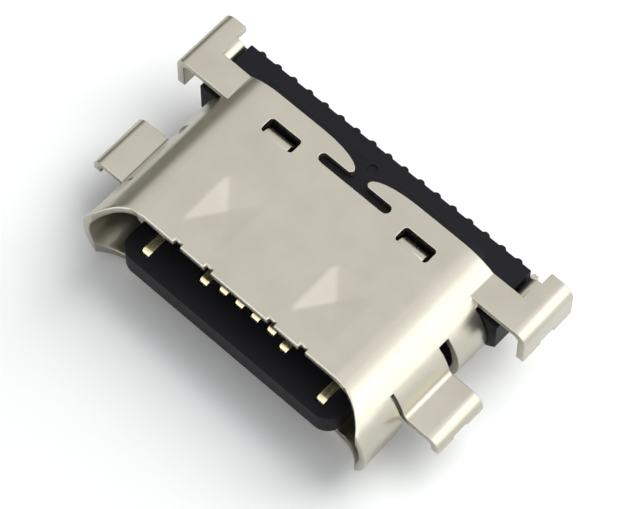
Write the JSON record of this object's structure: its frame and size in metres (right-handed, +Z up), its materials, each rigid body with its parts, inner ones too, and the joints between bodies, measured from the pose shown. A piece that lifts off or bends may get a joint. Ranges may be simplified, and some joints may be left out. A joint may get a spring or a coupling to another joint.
{
  "type": "mid-mount usb-c socket",
  "caption": "Charging socket for a phone board: folded metal shell with solder ears, black insulator with a centre tongue, gold contacts and a row of rear solder tails.",
  "frame": {"origin": "under the middle of the whole part, on the plane that the shell's flat bottom rests on", "axes": "+X across the socket, +Y from the mouth towards the solder tails, +Z up from the shell's flat bottom to its top"},
  "size_m": [0.011, 0.006, 0.0031],
  "materials": {
    "shell": "satin nickel plate on stamped and folded steel sheet",
    "housing": "moulded black insulator, low sheen",
    "carrier": "moulded black insulator, matte",
    "mid_plate": "plain stamped stainless steel",
    "contact": "gold plate on copper alloy strip"
  },
  "bodies": {
    "root": {"shell": "shell", "housing": "housing", "upper_carrier": "carrier", "lower_carrier": "carrier", "mid_plate": "mid_plate", "contact_a1": "contact", "contact_a4": "contact", "contact_a5": "contact", "contact_a6": "contact", "contact_a7": "contact", "contact_a8": "contact", "contact_a9": "contact", "contact_a12": "contact", "contact_b1": "contact", "contact_b4": "contact", "contact_b5": "contact", "contact_b6": "contact", "contact_b7": "contact", "contact_b8": "contact", "contact_b9": "contact", "contact_b12": "contact"}
  },
  "joints": []
}
